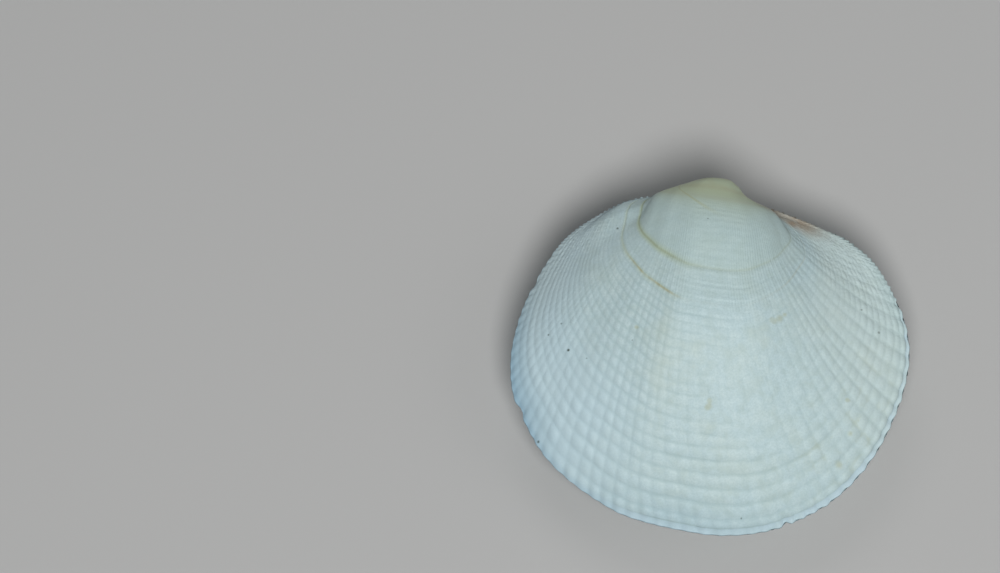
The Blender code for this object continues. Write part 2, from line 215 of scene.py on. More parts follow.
# what stands out of the smooth face of a valve
sculpture = {
    "cordStep": 0.040,           # each cord starts where the shell was this share smaller
    "ribSteps": (0.0, 0.17, 0.34, 0.44, 0.56, 0.66, 0.83),   # columns to one rib
    "cordSteps": (0.06, 0.20, 0.50, 0.80, 0.94),             # rows to one cord
    "netCords": 19,              # cords from the margin up that have all of those rows
    # more rows of the mesh, in cords from the margin, then stages of the beak's own rows
    "extraRows": [0.38, 0.46],
    "youngRows": [
        19.06, 19.2, 19.35, 19.48, 19.58, 19.68, 19.78, 19.88, 20.0, 20.2, 20.5, 20.8, 21.0,
        21.2, 21.5, 21.8, 22.0, 22.2, 22.5, 22.8, 23.0, 23.2, 23.5, 23.8, 23.98, 24.08, 24.19,
        24.30, 24.40, 24.6, 25.0, 25.6, 26.4, 27.3, 28.3, 29.4, 30.3, 30.9, 31.4, 31.9, 32.8,
        33.8,
    ],
    "beakStages": [0.235, 0.205, 0.175, 0.145, 0.115, 0.085, 0.055, 0.028, 0.0],
    "nodeHeight": 0.27 * mm,     # on the widest ribs at the margin
    # how much one nodule differs from the next, by share of the way round
    "unevenness": [
        (0.00, 0.15), (0.12, 0.20), (0.22, 0.40), (0.68, 0.38), (0.76, 0.14), (1.00, 0.10),
    ],
    "cordCount": 60,             # cords that have nodules of their own size
    # smooth noises that unsettle the net: cells round and along the shell, amount
    "unrest": {
        "height": ((24, 14), 0.18),          # as a share of the height
        "ribs": ((70, 9), 0.10),             # in ribs
        "cords": ((26, 12), 0.12),           # in cords
        "fineCords": ((90, 30), 0.06),
        "face": ((16, 8), 0.05 * mm),
        "beads": ((150, 12), 0.5),
    },
    "sink": 0.76,                # share of the node height that lies below the smooth face
    "deepestGap": -0.6,          # no gap goes deeper than this many node heights, before the sink
    "ribSharpness": 2.2,
    "cordSharpness": 2.3,
    # how deep the gaps between ribs and between cords are, by share of the way round
    "ribStrength": [
        (0.00, 0.12), (0.05, 0.06), (0.10, 0.06), (0.15, 0.40), (0.21, 0.88), (0.28, 0.80),
        (0.34, 0.66), (0.39, 0.50), (0.44, 0.42), (0.52, 0.50), (0.57, 0.74), (0.62, 0.80),
        (0.67, 0.64), (0.72, 0.32), (0.76, 0.12), (0.86, 0.05), (1.00, 0.10),
    ],
    "cordStrength": [
        (0.00, 0.10), (0.05, 0.08), (0.12, 0.14), (0.17, 0.40), (0.22, 0.62), (0.34, 0.66),
        (0.40, 0.72), (0.46, 0.82), (0.54, 0.98), (0.62, 1.12), (0.68, 1.00), (0.73, 0.74),
        (0.78, 0.60), (0.86, 0.46), (1.00, 0.25),
    ],
    # how strong the whole net is, by stage
    "stageStrength": [
        (0.00, 0.00), (0.25, 0.04), (0.36, 0.12), (0.40, 0.60), (0.48, 0.72), (0.60, 0.68),
        (0.72, 0.80), (0.85, 1.00), (0.95, 1.05), (1.00, 0.85),
    ],
    # cords with a deeper gap behind them: number, share of the way round, reach, extra
    "pauses": [
        (4, 0.405, 0.060, 0.45), (2, 0.50, 0.10, 0.20), (3, 0.51, 0.10, 0.15),
        (5, 0.50, 0.09, 0.20), (6, 0.49, 0.08, 0.15), (8, 0.62, 0.10, 0.15),
        (13, 0.33, 0.05, 0.20), (17, 0.37, 0.04, 0.30), (18, 0.53, 0.06, 0.25),
    ],
    # the middle of the disc, where the cords are worn down
    "wornDisc": {
        "share": 0.41, "shareReach": 0.09, "stage": 0.64, "stageReach": 0.15, "most": 0.55,
    },
    # smooth rim outside the last cord, by share of the way round; its stages are in comesIn
    "rim": [(0.00, 0.0), (0.15, 0.0), (0.20, 1.0), (0.52, 1.0), (0.60, 0.0), (1.00, 0.0)],
    "rimDrop": 0.10 * mm,
    # how far the edge swings in and out with the ribs, by share of the way round
    "scallop": [
        (0.00, 0.05 * mm), (0.12, 0.07 * mm), (0.20, 0.11 * mm), (0.41, 0.11 * mm),
        (0.45, 0.04 * mm), (0.54, 0.04 * mm), (0.60, 0.06 * mm), (0.72, 0.03 * mm),
        (0.86, 0.05 * mm), (1.00, 0.04 * mm),
    ],
    "scallopIn": 0.2,            # share of the swing that the whole edge is drawn in by
    "tuck": 0.13 * mm,           # the left valve's edge lies this far inside the right's
    # the two upper margins are beaded: by share of the way round
    "border": [
        (0.00, 0.5), (0.015, 1.0), (0.13, 1.0), (0.18, 0.0), (0.81, 0.0), (0.87, 1.0),
        (0.97, 1.0), (1.00, 0.5),
    ],
    "beadHeight": 0.075 * mm,
    # how much of the netting is worn off along the edge, by share of the way round
    "wornEdge": [(0.00, 0.0), (0.56, 0.0), (0.65, 0.6), (0.84, 0.6), (0.90, 0.0), (1.00, 0.0)],
    # from just inside the edge, the outer face of these margins stays this far from the seam
    "lip": 0.30 * mm,
    "lipBeads": 0.2,             # share of the lip that the beads add or take
    "doubledFrom": 0.33,         # this far round from the belly, each rib ends in two beads
    "tipLift": 0.25 * mm,        # the tips of the two beaks stay this far from the seam
    # resting lines: stage, half width in stages, depth
    "restingLines": [(0.455, 0.0045, 0.06 * mm), (0.380, 0.0035, 0.06 * mm)],
    # chips in the margin: share of the way round, half width as a share, depth
    "chips": [(0.4085, 0.0040, 0.35 * mm), (0.6805, 0.0075, 0.40 * mm),
              (0.7955, 0.0045, 0.28 * mm)],
    "chipFloor": 1.3,            # over 1, a chip has a flat floor
    "allowance": 0.22 * mm,      # keeps the rounded face inside the flat-faced solid's box
    # how far the closed margins weave up and down, by share of the way round
    "interlock": [
        (0.00, 0.03 * mm), (0.20, 0.05 * mm), (0.30, 0.13 * mm), (0.54, 0.12 * mm),
        (0.64, 0.05 * mm), (0.74, 0.04 * mm), (1.00, 0.03 * mm),
    ],
    # stages between which these come in as the shell grows
    "comesIn": {
        "allowance": (0, 0.10), "afterTip": (0, 0.16), "beads": (0.92, 0.97),
        "wear": (0.93, 0.98), "weave": (0.93, 1.0), "edge": (0.965, 1.0), "rim": (0.981, 0.983),
        "scallop": (0.975, 1.0),
    },
    # the same, counted back from the margin
    "fromEdge": {
        "rimDrop": (0, 0.006), "straying": (0, 0.05), "lip": (0, 0.05), "allowance": (0, 0.125),
    },
    "innerStages": (1.0, 0.90, 0.76, 0.62, 0.48, 0.37, 0.29),
    "wallInset": 1.7 * mm,
    "wallDepth": 0.6 * mm,
    "hingeInset": 2.0 * mm,
    "hingeReach": 5.0 * mm,
    "calmReach": 1.6 * mm,       # away from the hinge the netting gains strength over this
    "calmShare": 0.4,            # starting this share of it from the hinge
    "calmLeast": 0.15,           # but it is never weaker than this
    "gap": 0.10 * mm,            # between the closed margins
    "ligamentGroove": 0.7 * mm,
}

ligamentForm = {
    "length": 11.0 * mm,
    "height": 1.9 * mm,
    "thickness": 1.25 * mm,
    "centre": (-7.2 * mm, 1.95 * mm),   # along the hinge line, and below the axis
    "slope": 8.0,
    "fibres": 7,
    "fibreDepth": 0.035 * mm,
}


def stageRows():
    # growth stages that carry a row of the mesh, from the beak to the margin
    cords = []
    for number in range(sculpture["netCords"]):
        cords += [number + part for part in sculpture["cordSteps"]]
    cords += sculpture["extraRows"] + sculpture["youngRows"]
    stages = list(np.exp(-np.array(cords) * sculpture["cordStep"]))
    stages = [1.0] + sorted(stages, reverse=True) + sculpture["beakStages"]
    return np.array(stages[::-1])


def unrest(kind, share, stage, seed):
    cells, amount = sculpture["unrest"][kind]
    return amount * wander(share, stage, cells, seed)


def crown(phase, sharpness):
    # 1 on the crest of a rib or cord, 0 in the gap half a step away
    near = 1 - 2 * np.abs(phase - np.round(phase))
    return 1 - (1 - near) ** sharpness


def relief(rib, cord, share, stage, seed):
    # height of the netted sculpture over the smooth face, and its crown from 0 to 1
    crowding = smoothSteps(shellForm["crowding"], np.mod(share, 1.0))
    size = stage * shellForm["wideRibCrowding"] / crowding
    ribPart = 1 - crown(rib, sculpture["ribSharpness"])
    cordPart = 1 - crown(cord + 0.5, sculpture["cordSharpness"])
    ribPart = ribPart * smoothSteps(sculpture["ribStrength"], np.mod(share, 1.0))
    gapStrength = smoothSteps(sculpture["cordStrength"], np.mod(share, 1.0))
    for number, centre, reach, extra in sculpture["pauses"]:
        beside = np.exp(-(((np.mod(share, 1.0) - centre) / reach) ** 2))
        gapStrength = gapStrength + extra * beside * (np.abs(cord - number) < 0.5)
    wear = sculpture["wornDisc"]
    worn = ((np.mod(share, 1.0) - wear["share"]) / wear["shareReach"]) ** 2
    worn = np.exp(-worn - ((stage - wear["stage"]) / wear["stageReach"]) ** 2)
    gapStrength = gapStrength * (1 - wear["most"] * worn)
    top = (1 - ribPart) * (1 - cordPart * gapStrength)
    ribNumber = np.round(rib).astype(int) % shellForm["ribCount"]
    cordNumber = np.clip(np.floor(cord), 0, sculpture["cordCount"] - 1).astype(int)
    nodules = (shellForm["ribCount"], sculpture["cordCount"])
    spread = np.random.default_rng(seed).uniform(-1, 1, nodules)
    uneven = smoothSteps(sculpture["unevenness"], np.mod(share, 1.0))
    uneven = 1 + uneven * spread[ribNumber, cordNumber]
    uneven = uneven + unrest("height", share, stage, seed + 1)
    height = sculpture["nodeHeight"] * size * smoothSteps(sculpture["stageStrength"], stage)
    sunk = np.maximum(top, sculpture["deepestGap"]) * uneven - sculpture["sink"]
    return height * sunk, np.clip(top, 0, 1)


def ligamentWindow(points):
    # 1 beside the ligament, falling to 0 past its ends and towards the belly
    slope = math.radians(ligamentForm["slope"])
    along = points[..., 0] - ligamentForm["centre"][0]
    below = points[..., 1] - ligamentForm["centre"][1]
    endwise = along * math.cos(slope) - below * math.sin(slope)
    across = along * math.sin(slope) + below * math.cos(slope)
    endwise = endwise / (0.62 * ligamentForm["length"])
    across = across / (1.4 * ligamentForm["height"])
    return np.clip(1.6 - 1.6 * (endwise ** 4 + across ** 4), 0, 1)


def outerFace(ribs, stages, shift, seed, tuck):
    # every point of the sculpted outer face, one row for each growth stage
    rib, stage = np.meshgrid(ribs, stages)
    cord = -np.log(np.maximum(stage, 1e-4)) / sculpture["cordStep"]
    comesIn = {key: climb(stage, *span) for key, span in sculpture["comesIn"].items()}
    fromEdge = {key: climb(1 - stage, *span) for key, span in sculpture["fromEdge"].items()}
    ends = shareOfRib(rib + shift)       # where each rib ends at the margin
    share = ends + unrest("ribs", ends, stage, seed + 2) / shellForm["ribCount"]
    share = share + smoothSteps(shellForm["drift"], np.mod(share, 1.0)) * (1 - stage)
    wave = unrest("cords", ends, stage, seed + 3) + unrest("fineCords", ends, stage, seed + 5)
    strayed = stage * np.exp(wave * sculpture["cordStep"] * fromEdge["straying"])
    around = np.mod(share, 1.0)

    # height over the smooth face
    height, top = relief(rib, cord, share, stage, seed)
    shelter = outlineAt(share)[..., 1] / sculpture["calmReach"] - sculpture["calmShare"]
    shelter = np.clip(shelter, sculpture["calmLeast"], 1)
    worn = smoothSteps(sculpture["wornEdge"], around)
    height = height * shelter * (1 - worn * comesIn["wear"])
    rim = smoothSteps(sculpture["rim"], around) * comesIn["rim"]
    height = height * (1 - rim) - sculpture["rimDrop"] * rim * fromEdge["rimDrop"]
    for line, halfWidth, depth in sculpture["restingLines"]:
        height = height - depth * np.exp(-(((stage - line) / halfWidth) ** 2))
    height = height - sculpture["allowance"] * fromEdge["allowance"] * comesIn["allowance"]
    height = height + unrest("face", share, stage, seed + 4) * np.sin(np.pi * stage)

    # the edge: chips, beads and scallops; there the height is measured in the margins' plane
    points = growthPoint(share, np.minimum(strayed, 1.0))
    normals = growthNormal(share, np.minimum(strayed, 1.0))
    normals[..., 2] *= 1 - comesIn["edge"]
    normals /= np.maximum(np.linalg.norm(normals, axis=-1, keepdims=True), 1e-9)
    chip = np.zeros_like(share)
    for centre, halfWidth, deepest in sculpture["chips"]:
        beside = 1 - np.abs(share - centre) / halfWidth
        chip += deepest * np.clip(sculpture["chipFloor"] * beside, 0, 1)
    border = smoothSteps(sculpture["border"], around)
    beadsToRib = np.where(np.abs(ends % 1.0 - 0.5) > sculpture["doubledFrom"], 2, 1)
    beads = np.cos(2 * np.pi * rib * beadsToRib) * (1 + unrest("beads", ends, stage, seed + 6))
    scallop = smoothSteps(sculpture["scallop"], around) * (beads - sculpture["scallopIn"])
    height = height - chip * comesIn["edge"]
    height = height + sculpture["beadHeight"] * beads * border * comesIn["beads"]
    height = height + (scallop - tuck) * comesIn["scallop"]
    points = points + normals * height[..., None]

    # how far from the seam the tips and lips stay at least, and how the margins weave
    tip = sculpture["tipLift"] * (1 - comesIn["afterTip"])
    points[..., 2] = np.hypot(np.maximum(points[..., 2], 0), tip)
    lip = sculpture["lip"] * border * np.sqrt(fromEdge["lip"])
    points[..., 2] = np.hypot(points[..., 2], lip * (1 + sculpture["lipBeads"] * beads))
    weave = smoothSteps(sculpture["interlock"], around) * np.cos(2 * np.pi * rib)
    weave = weave * comesIn["weave"]
    return points, weave * shelter, top, share, strayed


def innerFace(ribs, shift):
    # the inner wall: the outer rows drawn in towards their middles by the wall's width
    share = shareOfRib(ribs + shift)
    outline = outlineAt(share)
    rows = []
    for stage in sculpture["innerStages"]:
        points = growthPoint(share, stage)
        middle = points.mean(axis=0)
        drawn = sculpture["hingeInset"] * np.exp(-(outline[:, 1] / sculpture["hingeReach"]) ** 2)
        drawn = (drawn + sculpture["wallInset"]) * (0.5 + 0.5 * stage)
        arm = middle - points
        points = points + arm * (drawn / np.linalg.norm(arm, axis=1))[:, None]
        if stage < 1:
            points = points - growthNormal(share, stage) * sculpture["wallDepth"]
            points[:, 2] = np.maximum(points[:, 2], 0)
        rows.append(points)
    rows.append(np.repeat(rows[-1].mean(axis=0)[None], len(share), axis=0))
    return np.array(rows)


def restingAxes(points, side):
    # from hinge axes to the lying shell; side is 1 for the right valve, -1 for the left
    turn = math.radians(shellForm["hingeTurn"])
    along = points[..., 0]
    below = points[..., 1] - shellForm["cardinalHeight"]
    slipX, slipY = shellForm["slip"][side]
    right = along * math.cos(turn) - below * math.sin(turn) + slipX
    up = -(along * math.sin(turn) + below * math.cos(turn)) + slipY
    pitch = np.array(Euler((math.radians(shellForm["restPitch"]), 0, 0)).to_matrix())
    world = np.stack([right, up, side * points[..., 2]], -1) @ pitch.T
    return world + np.array(shellForm["restPlace"])


def makeValve(name, side, seed):
    whole = np.arange(shellForm["ribCount"])[:, None]
    ribs = (whole + np.array(sculpture["ribSteps"])).ravel()
    ribs = np.append(ribs, float(shellForm["ribCount"]))
    stages = stageRows()
    shift = 0.0 if side > 0 else 0.5
    tuck = 0.0 if side > 0 else sculpture["tuck"]
    outer, weave, top, share, strayed = outerFace(ribs, stages, shift, seed, tuck)
    inner = innerFace(ribs, shift)
    points = np.concatenate([outer, inner])
    floor = sculpture["gap"] / 2 + sculpture["ligamentGroove"] * ligamentWindow(points)
    points[..., 2] = np.hypot(np.maximum(points[..., 2], 0), floor)
    points[:len(stages), :, 2] += weave
    points[len(stages), :, 2] += 0.5 * weave[-1]
    places = restingAxes(points, side)
    places[..., 2] = np.maximum(places[..., 2], 0)      # the worn flat that it lies on
    rows, columns = places.shape[:2]

    shape = bmesh.new()
    growthMap = shape.loops.layers.uv.new("growth")
    netMap = shape.loops.layers.uv.new("net")
    crownLayer = shape.verts.layers.float.new("crown")
    bmesh.ops.create_grid(shape, x_segments=columns - 1, y_segments=rows - 1, size=0.5)
    column = np.empty(len(shape.verts), dtype=int)
    row = np.empty(len(shape.verts), dtype=int)
    for vert in shape.verts:
        column[vert.index] = round((vert.co.x + 0.5) * (columns - 1))
        row[vert.index] = round((vert.co.y + 0.5) * (rows - 1))
    outside = row < len(stages)
    nearest = np.where(outside, row, len(stages) - 1)      # inner rows take the edge's values
    crowns = np.where(outside, top[nearest, column], 0.0)
    stageHere = strayed[nearest, column]
    shareHere = share[nearest, column]
    cordHere = -np.log(np.maximum(stages[nearest], 1e-4)) / sculpture["cordStep"]
    ribHere = ribs[column]
    spots = places[row, column]
    for vert in shape.verts:
        vert.co = spots[vert.index]
        vert[crownLayer] = crowns[vert.index]
    for face in shape.faces:
        face.smooth = True
        for corner in face.loops:
            number = corner.vert.index
            corner[growthMap].uv = (shareHere[number], stageHere[number])
            corner[netMap].uv = (ribHere[number], cordHere[number])
    bmesh.ops.remove_doubles(shape, verts=shape.verts, dist=1e-7)
    bmesh.ops.recalc_face_normals(shape, faces=shape.faces)
    return finishPiece(shape, name)


def finishPiece(shape, name):
    data = bpy.data.meshes.new(name)
    shape.to_mesh(data)
    shape.free()
    piece = bpy.data.objects.new(name, data)
    bpy.context.scene.collection.objects.link(piece)
    print(name, len(data.polygons), "faces")
    return piece


def makeLigament(name):
    shape = bmesh.new()
    bmesh.ops.create_uvsphere(shape, u_segments=48, v_segments=32, radius=0.5)
    bmesh.ops.rotate(shape, verts=shape.verts, matrix=Matrix.Rotation(math.pi / 2, 3, "Y"))
    for vert in shape.verts:
        across = math.atan2(vert.co.z, vert.co.y)
        fibre = math.cos(across * 2 * ligamentForm["fibres"])
        depth = ligamentForm["fibreDepth"] / ligamentForm["height"] * (1 - fibre)
        vert.co.y *= 1 - depth
        vert.co.z *= 1 - depth
    size = Vector((ligamentForm["length"], ligamentForm["height"], ligamentForm["thickness"]))
    bmesh.ops.scale(shape, verts=shape.verts, vec=size)
    slope = Matrix.Rotation(-math.radians(ligamentForm["slope"]), 3, "Z")
    bmesh.ops.rotate(shape, verts=shape.verts, matrix=slope)
    shift = Vector((*ligamentForm["centre"], 0))
    points = np.array([vert.co + shift for vert in shape.verts])
    pitch = np.array(Euler((math.radians(shellForm["restPitch"]), 0, 0)).to_matrix())
    places = restingAxes(points, 1) - np.array([*shellForm["slip"][1], 0]) @ pitch.T
    for vert, place in zip(shape.verts, places):
        vert.co = place
    for face in shape.faces:
        face.smooth = True
    bmesh.ops.recalc_face_normals(shape, faces=shape.faces)
    return finishPiece(shape, name)


rightValve = makeValve("rightValve", 1, 11)
leftValve = makeValve("leftValve", -1, 29)
ligament = makeLigament("hornLigament")


class Signal:
    # a number that runs through a material, so that sums on it add Math nodes
    def __init__(self, recipe, socket):
        self.recipe = recipe
        self.socket = socket

    def maths(self, operation, first, second):
        return self.recipe.maths(operation, first, second)

    def __add__(self, other):
        return self.maths("ADD", self, other)

    def __sub__(self, other):
        return self.maths("SUBTRACT", self, other)

    def __mul__(self, other):
        return self.maths("MULTIPLY", self, other)

    def __rsub__(self, other):
        return self.maths("SUBTRACT", other, self)

    def __abs__(self):
        return self.maths("ABSOLUTE", self, 0.0)

    __radd__ = __add__
    __rmul__ = __mul__

    def ramp(self, low, high):
        # 0 below low, 1 above high, smooth between; turned round when low is above high
        settings = {"interpolation_type": "SMOOTHSTEP", "clamp": True}
        if low <= high:
            inputs = {"Value": self, "From Min": low, "From Max": high, "To Min": 0.0, "To Max": 1.0}
        else:
            inputs = {"Value": self, "From Min": high, "From Max": low, "To Min": 1.0, "To Max": 0.0}
        return self.recipe.node("ShaderNodeMapRange", settings, inputs)

    def bump(self, centre, reach):
        # 1 at centre, falling to 0 at reach on either side
        return abs(self - centre).ramp(reach, 0.0)


class Recipe:
    # one material and its nodes
    def __init__(self, name):
        self.material = bpy.data.materials.new(name)
        self.material.use_nodes = True
        self.tree = self.material.node_tree
        self.shader = self.tree.nodes["Principled BSDF"]

    def node(self, kind, settings=None, inputs=None, output=0):
        made = self.tree.nodes.new(kind)
        for key, value in (settings or {}).items():
            setattr(made, key, value)
        for key, value in (inputs or {}).items():
            self.feed(made.inputs[key], value)
        return Signal(self, made.outputs[output])

    def maths(self, operation, first, second=0.0):
        return self.node("ShaderNodeMath", {"operation": operation}, {0: first, 1: second})

    def feed(self, socket, value):
        if isinstance(value, Signal):
            self.tree.links.new(value.socket, socket)
        else:
            socket.default_value = value

    def noise(self, place, scale, detail=3.0, roughness=0.5, stretch=None):
        if stretch:
            place = self.node("ShaderNodeMapping", None, {"Vector": place, "Scale": stretch})
        inputs = {"Vector": place, "Scale": scale, "Detail": detail, "Roughness": roughness}
        return self.node("ShaderNodeTexNoise", None, inputs)

    def tint(self, amount, under, over):
        settings = {"data_type": "RGBA", "blend_type": "MIX"}
        return self.node("ShaderNodeMix", settings, {0: amount, 6: under, 7: over}, 2)

    def surface(self, **sockets):
        for key, value in sockets.items():
            self.feed(self.shader.inputs[key.replace("_", " ")], value)


shellLook = {
    "chalk": (0.575, 0.735, 0.765, 1),
    "bright": (0.66, 0.81, 0.82, 1),
    "dull": (0.50, 0.63, 0.60, 1),
    # gap: grey used as painted shade in the gaps between nodules, on the rim's inner line and at the
    # front margin, and for grey grit flecks
    "gap": (0.42, 0.57, 0.58, 1),
    "cream": (0.62, 0.70, 0.58, 1),
    # edge: painted shade, darker and bluish, along the margin
    "edge": (0.36, 0.55, 0.67, 1),
    # painted shade on the upper slopes
    "slopeShade": (0.37, 0.44, 0.44, 1),
    "rim": (0.56, 0.73, 0.82, 1),
    "cool": (0.575, 0.75, 0.83, 1),
    "warm": (0.65, 0.76, 0.72, 1),
    "young": (0.48, 0.62, 0.59, 1),
    "umbo": (0.60, 0.69, 0.47, 1),
    "ring": (0.36, 0.42, 0.28, 1),
    "scar": (0.42, 0.37, 0.19, 1),
    "old": (0.50, 0.53, 0.30, 1),
    "yellowed": (0.48, 0.58, 0.40, 1),
    "rust": (0.48, 0.44, 0.26, 1),
    "lunule": (0.33, 0.245, 0.165, 1),
    "pit": (0.04, 0.06, 0.04, 1),
    "stain": (0.44, 0.47, 0.28, 1),
    "roughness": 0.55,
    "specular": 0.4,
    "bumpStrength": 0.5,
    "bumpDepth": 0.11 * mm,
    # noises in the material: scale to the metre, detail, roughness
    "cloudy": (90.0, 4.0, 0.55),
    "blotchy": (260.0, 3.0, 0.6),
    "mottled": (620.0, 0.0, 0.5),
    "fine": (1400.0, 3.0, 0.6),
    "granules": (2300.0, 1.0, 0.5),
    "grit": (3600.0, 2.0, 0.6),
    # the same, but to a rib and a cord, and to a streak along the growth
    "motley": (0.85, 2.0, 0.7),
    "streaks": (1.0, 2.0, 0.5),
}

# tiny dark pits and stains on each valve: X, Y and radius in millimetres, strength
rightMarks = {
    "pits": [
        (-13.16, 17.07, 0.26, 0.80), (-0.60, 16.80, 0.16, 0.45), (-22.87, 2.28, 0.22, 0.75),
        (-21.07, 3.58, 0.18, 0.55), (-20.09, -0.32, 0.25, 0.90), (-17.55, -1.82, 0.20, 0.50),
        (-11.20, -0.10, 0.16, 0.45), (-24.29, -12.04, 0.32, 0.95), (21.11, 6.02, 0.22, 0.55),
        (23.54, 2.98, 0.20, 0.50), (4.10, -23.10, 0.16, 0.60),
    ],
    "stains": [
        (9.36, 2.86, 0.80, 0.45), (8.50, 2.45, 0.60, 0.32), (10.10, 3.50, 0.45, 0.45),
        (-0.64, -9.33, 0.60, 0.45), (-0.50, -8.50, 0.50, 0.35), (-10.60, 1.60, 0.45, 0.50),
        (19.45, -11.50, 0.60, 0.50), (19.00, -7.10, 0.45, 0.45), (17.80, -15.70, 0.80, 0.45),
        (20.60, -9.60, 0.40, 0.40),
    ],
}
leftMarks = {
    "pits": [(-9.80, 8.20, 0.18, 0.60), (12.40, -17.10, 0.24, 0.80), (3.60, -21.40, 0.17, 0.60)],
    "stains": [
        (4.10, -4.20, 1.60, 0.35), (8.20, -6.90, 1.20, 0.40), (2.50, -15.20, 0.80, 0.45),
        (15.30, 2.20, 1.00, 0.40),
    ],
}
# brown blush beside the front margin, in millimetres: where its outer edge starts and
# how that falls, how far in it reaches and is full, and where it fades along the margin
blush = {
    "from": (7.3, 20.3), "fall": 0.28, "deep": 2.6, "full": 0.3, "fadesFrom": 11.0, "until": 19.0,
}


class ShellPaint(Recipe):
    # the material of one valve, laid on tint over tint
    def __init__(self, name):
        super().__init__(name)
        self.place = self.node("ShaderNodeTexCoord", None, None, "Object")
        plan = {0: self.place, 1: (1, 1, 0)}
        self.flat = self.node("ShaderNodeVectorMath", {"operation": "MULTIPLY"}, plan)
        growth = self.node("ShaderNodeUVMap", {"uv_map": "growth"})
        net = self.node("ShaderNodeUVMap", {"uv_map": "net"})
        self.share, self.stage = self.axis(growth, 0), self.axis(growth, 1)
        self.rib, self.cord = self.axis(net, 0), self.axis(net, 1)
        self.crown = self.node("ShaderNodeAttribute", {"attribute_name": "crown"}, None, "Fac")
        self.blotchy = self.noise(self.place, *shellLook["blotchy"])
        self.fine = self.noise(self.place, *shellLook["fine"])
        self.grit = self.noise(self.place, *shellLook["grit"])
        self.granules = self.noise(self.flat, *shellLook["granules"])
        slopes = self.share.ramp(0.28, 0.14) + self.share.ramp(0.74, 0.84)
        self.upper = slopes * self.stage.ramp(0.45, 0.60)
        creamy = self.blotchy.ramp(0.40, 0.75) * 0.22
        self.colour = self.tint(creamy, shellLook["chalk"], shellLook["cream"])

    def axis(self, place, number):
        return self.node("ShaderNodeSeparateXYZ", None, {0: place}, number)

    def grid(self, across, along):
        return self.node("ShaderNodeCombineXYZ", None, {0: across, 1: along})

    def lay(self, amount, tintName):
        self.colour = self.tint(amount, self.colour, shellLook[tintName])

    def chalk(self):
        # chalky white, uneven from nodule to nodule, with painted shade (greyer) in the gaps
        stage, blotchy = self.stage, self.blotchy
        motley = self.noise(self.grid(self.rib, self.cord), *shellLook["motley"])
        motley = motley * stage.ramp(0.40, 0.60)
        self.lay(motley.ramp(0.52, 0.68) * 0.35, "bright")
        self.lay(motley.ramp(0.48, 0.34) * stage.ramp(0.5, 0.6) * 0.30, "dull")
        mottled = self.noise(self.place, *shellLook["mottled"])
        self.lay(mottled.ramp(0.50, 0.72) * 0.34, "bright")
        self.lay(mottled.ramp(0.48, 0.28) * 0.30, "dull")
        # painted shade: greyer where the crown is low, in the gaps between the nodules
        self.lay(self.crown.ramp(0.66, 0.05) * stage.ramp(0.36, 0.5) * 0.50, "gap")
        self.lay(self.grit.ramp(0.62, 0.36) * 0.30, "gap")
        dirty = self.crown.ramp(0.75, 0.25) * self.share.bump(0.32, 0.13) * stage.ramp(0.70, 0.86)
        self.lay(dirty * blotchy.ramp(0.50, 0.66) * 0.32, "stain")

    def regions(self):
        # creamy disc, cooler behind, warmer in front; painted shade, darker and bluish, along the
        # margin, on the upper slopes and at the front edge, and a painted shadow line inside the rim
        share, stage, blotchy = self.share, self.stage, self.blotchy
        disc = stage.ramp(1.0, 0.6) * stage.ramp(0.42, 0.50) * share.bump(0.45, 0.30)
        cloudy = self.noise(self.place, *shellLook["cloudy"])
        self.lay(cloudy.ramp(0.50, 0.72) * disc * 0.45, "cream")
        self.lay(share.ramp(0.50, 0.64) * stage.ramp(0.55, 0.85) * 0.7, "cool")
        self.lay(share.ramp(0.38, 0.24) * stage.ramp(0.48, 0.60) * 0.4, "warm")
        # painted shade: greyer towards the front margin
        self.lay(share.bump(0.16, 0.12) * stage.ramp(0.86, 1.0) * 0.5, "gap")
        # painted shade: the margin darkens towards the edge, most at the back, some at the belly and
        # along the last band of the back half
        edgeShadeMask = share.ramp(0.60, 0.70) * share.ramp(0.82, 0.74) * 0.85 + share.bump(0.50, 0.15) * 0.30
        margin = stage.ramp(0.88, 1.0) * edgeShadeMask
        self.lay(margin + stage.ramp(0.975, 1.0) * share.ramp(0.45, 0.60) * 0.40, "edge")
        # painted shade on the upper slope behind the beak and on the slope in front of it
        slopeShade = share.ramp(0.70, 0.80) * stage.ramp(0.50, 1.0) * 0.50
        self.lay(slopeShade + share.ramp(0.17, 0.11) * stage.ramp(0.50, 0.70) * 0.32, "slopeShade")
        rim = share.ramp(0.15, 0.20) * share.ramp(0.60, 0.52)
        self.lay(rim * stage.ramp(0.981, 0.985) * (blotchy.ramp(0.42, 0.58) * 0.45 + 0.30), "rim")
        # painted shadow: a grey line where the rim meets the last cord
        rimLine = rim * stage.bump(sum(sculpture["comesIn"]["rim"]) / 2, 0.0045)
        self.lay(rimLine * (blotchy.ramp(0.60, 0.40) * 0.55 + 0.15), "gap")
        self.lay(self.granules.ramp(0.48, 0.66) * self.upper * 0.40, "bright")

    def youngShell(self):
        # greyer inside the resting lines, then ivory and olive towards the beak
        stage = self.stage
        self.lay(stage.ramp(0.47, 0.42) * 0.22, "young")
        self.lay(stage.ramp(0.385, 0.37) * 0.35, "young")
        self.lay(stage.ramp(0.335, 0.225) * 0.9, "umbo")
        tip = stage.ramp(0.26, 0.12) * self.blotchy.ramp(0.40, 0.62) * 0.30
        self.lay(tip + stage.bump(0.20, 0.025) * 0.20 + stage.bump(0.265, 0.016) * 0.12, "rust")

    def restingLines(self):
